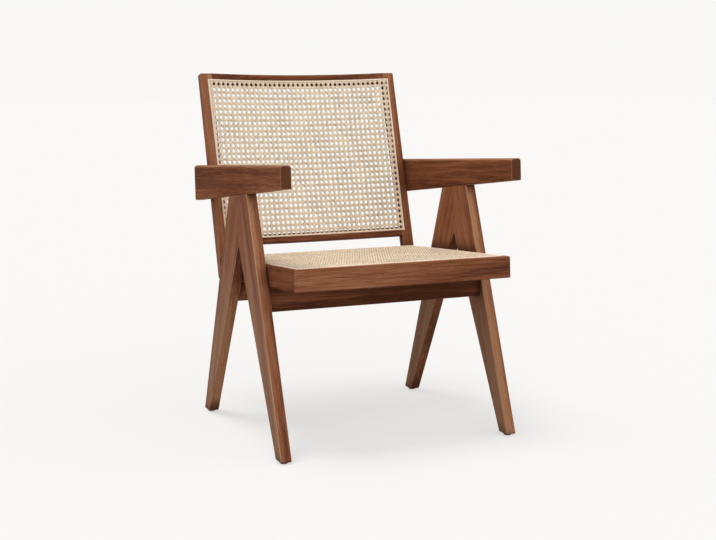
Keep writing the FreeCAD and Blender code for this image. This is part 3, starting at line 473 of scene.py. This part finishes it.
# cuts the weave to its panel and closes the cut ends
def trimWeave(piece, panel):
    foot, head = panel["foot"], panel["head"]
    taper = (panel["headHalf"] - panel["footHalf"]) / (head - foot)
    cuts = [((0.0, foot, 0.0), (0.0, -1.0, 0.0)), ((0.0, head, 0.0), (0.0, 1.0, 0.0))]
    for way in (-1.0, 1.0):
        cuts.append(((way * panel["footHalf"], foot, 0.0), (way, -taper, 0.0)))
    selectOnly(piece)
    bpy.ops.object.mode_set(mode="EDIT")
    for point, normal in cuts:
        bpy.ops.mesh.select_all(action="SELECT")
        bpy.ops.mesh.bisect(plane_co=point, plane_no=normal, clear_outer=True)
    bpy.ops.mesh.select_all(action="SELECT")
    bpy.ops.mesh.fill_holes(sides=0)
    bpy.ops.mesh.select_all(action="SELECT")
    bpy.ops.mesh.normals_make_consistent(inside=False)
    bpy.ops.object.mode_set(mode="OBJECT")
    bpy.ops.object.shade_smooth_by_angle(angle=math.radians(weave["smooth"]))


# the four layers of a flat panel, with a crossing of pairs at its start
def weavePanel(name, panel):
    pitchX, pitchY = panel["pitch"]
    startX, startY = panel["start"]
    layer, pair, steps = weave["layer"], weave["pair"], weave["steps"]
    half = max(panel["footHalf"], panel["headHalf"]) + pitchX
    firstX = startX - pitchX * math.ceil((half + startX) / pitchX)
    firstY = startY - pitchY * math.ceil((startY - panel["foot"]) / pitchY)
    columns = math.ceil((half - firstX) / pitchX) + 1
    rows = math.ceil((panel["head"] - firstY) / pitchY) + 1
    shares = [step / steps for step in range(steps + 1)]
    waves = [math.cos(2 * math.pi * share) for share in shares]
    layers = []
    uprights = []
    for way in (-1, 1):
        path = [Vector((firstX + way * pair, firstY + pitchY * share,
                        way * layer * (0.5 + 0.5 * wave))) for share, wave in zip(shares, waves)]
        strand = growStrand("upright", path, "along")
        repeatStrand(strand, rows, (0.0, pitchY, 0.0), True)
        uprights.append(strand)
    upright = joinStrands(name + "_uprights", uprights)
    repeatStrand(upright, columns, (pitchX, 0.0, 0.0))
    layers.append(upright)
    path = [Vector((firstX + pitchX * share, firstY - pair, 0.0)) for share in (0.0, 0.5, 1.0)]
    cross = growStrand(name + "_crosses", path, "across")
    repeatStrand(cross, columns, (pitchX, 0.0, 0.0), True)
    repeatStrand(cross, 2, (0.0, 2 * pair, 0.0))
    repeatStrand(cross, rows, (0.0, pitchY, 0.0))
    layers.append(cross)
    for word, way in (("rising", 1), ("falling", -1)):
        begin = firstX + pitchX / 2 - (rows * pitchX if way > 0 else 0.0)
        path = [Vector((begin + way * pitchX * share, firstY + pitchY * share,
                        -way * layer * wave)) for share, wave in zip(shares, waves)]
        diagonal = growStrand(f"{name}_{word}", path, "along")
        repeatStrand(diagonal, rows, (way * pitchX, pitchY, 0.0), True)
        repeatStrand(diagonal, columns + rows, (pitchX, 0.0, 0.0))
        layers.append(diagonal)
    # the uprights lean a little, as the cane was pulled
    lean = Matrix.Identity(4)
    lean[0][1] = panel["lean"]
    lean[0][3] = -panel["lean"] * startY
    for strands in layers:
        strands.data.transform(lean)
        trimWeave(strands, panel)
    return layers


# lets the cane down beside its splines, bows it, and stands it in the chair
def layWeave(piece, panel, bowAt, place):
    low, high, pressed = weave["low"], weave["high"], weave["pressed"]
    for vertex in piece.data.vertices:
        point = vertex.co
        inset = min(halfAt(panel, point.y) - abs(point.x),
                    point.y - panel["foot"], panel["head"] - point.y)
        share = min(max(inset / weave["border"], 0.0), 1.0)
        share = share * share * (3.0 - 2.0 * share)
        height = low + (high - low) * share + point.z * (pressed + (1.0 - pressed) * share)
        vertex.co = place @ Vector((point.x, point.y, height - bowAt(point.x, point.y)))
    piece.data.update()


seatPanel = {
    "foot": 0.0176,             # front edge, along the seat
    "head": 0.4590,             # rear edge
    "footHalf": 0.2404,
    "headHalf": 0.2404,
    "pitch": (0.0126, 0.0141),  # hole spacing across and along the panel
    "start": (0.0, 0.0246),     # a crossing of strand pairs
    "lean": 0.0,
    "stalk": usedCane,
    "strandShade": 0.58,               # darkness of the painted shade between strands
    "origin": (0.0, -0.31835, 0.4125),
    "tilt": -4.0,
}
backPanel = {
    "foot": -0.4062,            # down from the top of the back
    "head": -0.0200,
    "footHalf": 0.23295,
    "headHalf": 0.23735,
    "pitch": (0.01253, 0.01392),
    "start": (0.0045, -0.02024),
    "lean": 0.022,
    "stalk": cane,
    "strandShade": 1.0,
    "origin": (0.0, 0.28383, 0.81272),
    "tilt": 73.7,
    "topBow": 0.018,
    "bottomBow": 0.007,
    "bowHalf": 0.230,
}


def flatSeat(x, y):
    return 0.0


def bowedBack(x, y):
    rise = (y - backPanel["foot"]) / (backPanel["head"] - backPanel["foot"])
    rise = min(max(rise, 0.0), 1.0)
    bow = backPanel["bottomBow"] + (backPanel["topBow"] - backPanel["bottomBow"]) * rise
    half = backPanel["bowHalf"]
    if abs(x) >= half:
        return 0.0
    radius = (half * half + bow * bow) / (2.0 * bow)
    return math.sqrt(radius * radius - x * x) - (radius - bow)


# swing of each layer's grain, how dark its painted shade lines are beside the panel's, and where
# they begin
caneLayers = {
    "uprights": (0.0, 0.7, 0.25),
    "crosses": (-90.0, 0.7, 0.25),
    "rising": (-41.8, 1.0, 0.04),
    "falling": (41.8, 1.0, 0.04),
}
panels = (("seat_cane", seatPanel, flatSeat), ("back_cane", backPanel, bowedBack))
for panelName, panel, bowAt in panels:
    tilt = Matrix.Rotation(math.radians(panel["tilt"]), 4, "X")
    place = Matrix.Translation(panel["origin"]) @ tilt
    layers = weavePanel(panelName, panel)
    for seed, strands in enumerate(layers, start=1):
        layWeave(strands, panel, bowAt, place)
        word = strands.name.rsplit("_", 1)[1]
        swing, depth, inset = caneLayers[word]
        turn = place.to_3x3() @ Matrix.Rotation(math.radians(swing), 3, "Z")
        finish = stalkFinish(strands.name + "_strand", panel["stalk"], tuple(turn.to_euler()),
                             seed, panel["strandShade"] * depth, inset)
        paint(strands, finish)
        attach(strands, "root")
        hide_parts(panelName + "_panel")
        print(strands.name, len(strands.data.polygons), "faces")


# pale floor and backdrop, which keep the chair's shadow
stage = {
    "size": 60.0,
    "pale": (0.947, 0.939, 0.922, 1.0),     # floor and backdrop as seen
    "matte": (0.774, 0.767, 0.753, 1.0),    # the part of the floor that takes shadows
    "shade": 0.36,                          # depth of the shadows on the floor
    "bounce": (0.48, 0.47, 0.46, 1.0),      # floor as the chair is lit by it
    "skyColour": (1.0, 0.99, 0.97, 1.0),
    "sky": 0.28,                            # strength of the light from all round
}
lamps = {
    "overhead_lamp": {"from": (-0.22, 0.10, 1.0), "strength": 2.10, "angle": 28.0},
    "front_lamp": {"from": (0.25, -0.85, 0.60), "strength": 1.65, "angle": 115.0},
}
bpy.ops.object.select_all(action="DESELECT")
bpy.ops.mesh.primitive_plane_add(size=stage["size"], location=(0.0, 0.0, 0.0))
floor = bpy.context.object
floor.name = "floor"


# rays that see the pale stage instead of being lit by it
def addSeen(tree):
    rays = addNode(tree, "ShaderNodeLightPath", {})
    seen = addMath(tree, "MAXIMUM", rays.outputs["Is Camera Ray"], rays.outputs["Is Glossy Ray"])
    return addMath(tree, "MAXIMUM", seen, rays.outputs["Is Transmission Ray"])


def addShaderMix(tree, share, first, second):
    sockets = {0: share, 1: first.outputs[0], 2: second.outputs[0]}
    return addNode(tree, "ShaderNodeMixShader", sockets)


floorFinish, floorTree, floorShader = newFinish("pale_floor")
floorShader.inputs["Base Color"].default_value = stage["bounce"]
floorShader.inputs["Roughness"].default_value = 1.0
floorShader.inputs["Specular IOR Level"].default_value = 0.0
matte = addNode(floorTree, "ShaderNodeBsdfDiffuse", {"Color": stage["matte"]})
glow = addNode(floorTree, "ShaderNodeEmission", {"Color": stage["pale"]})
pale = addShaderMix(floorTree, stage["shade"], glow, matte)
mixed = addShaderMix(floorTree, addSeen(floorTree), floorShader, pale)
floorTree.links.new(mixed.outputs[0], floorTree.nodes["Material Output"].inputs["Surface"])
paint(floor, floorFinish)

world = bpy.data.worlds.new("studio")
bpy.context.scene.world = world
world.use_nodes = True
sky = world.node_tree
skyLight = sky.nodes["Background"]
skyLight.inputs["Color"].default_value = stage["skyColour"]
skyLight.inputs["Strength"].default_value = stage["sky"]
backdrop = addNode(sky, "ShaderNodeBackground", {"Color": stage["pale"], "Strength": 1.0})
mixed = addShaderMix(sky, addSeen(sky), skyLight, backdrop)
sky.links.new(mixed.outputs[0], sky.nodes["World Output"].inputs["Surface"])

for name, lamp in lamps.items():
    turn = Vector(lamp["from"]).to_track_quat("Z", "Y").to_euler()
    bpy.ops.object.light_add(type="SUN", location=lamp["from"], rotation=turn)
    bpy.context.object.name = name
    bpy.context.object.data.energy = lamp["strength"]
    bpy.context.object.data.angle = math.radians(lamp["angle"])
print("stage and light set")


# camera at the photograph's angle, taken as 716 by 540 pixels
view = {
    "place": (-1.2632, -2.8674, 0.8266),
    "yaw": -0.42427,
    "pitch": -0.12460,
    "focal": 1347.4,            # pixels
    "axisRow": 236.0,           # pixel row of the optical axis
    "frame": (716.0, 540.0),
    "sensor": 36.0,
    "reach": 100.0,
}
frameWidth, frameHeight = view["frame"]
bpy.ops.object.camera_add(location=view["place"],
                          rotation=(math.pi / 2 + view["pitch"], 0.0, view["yaw"]))
camera = bpy.context.object
camera.name = "photo_camera"
camera.data.sensor_width = view["sensor"]
camera.data.lens = view["focal"] / frameWidth * view["sensor"]
camera.data.shift_y = (view["axisRow"] - frameHeight / 2) / frameWidth
camera.data.clip_end = view["reach"]
bpy.context.scene.camera = camera
bpy.context.scene.view_settings.view_transform = "Standard"
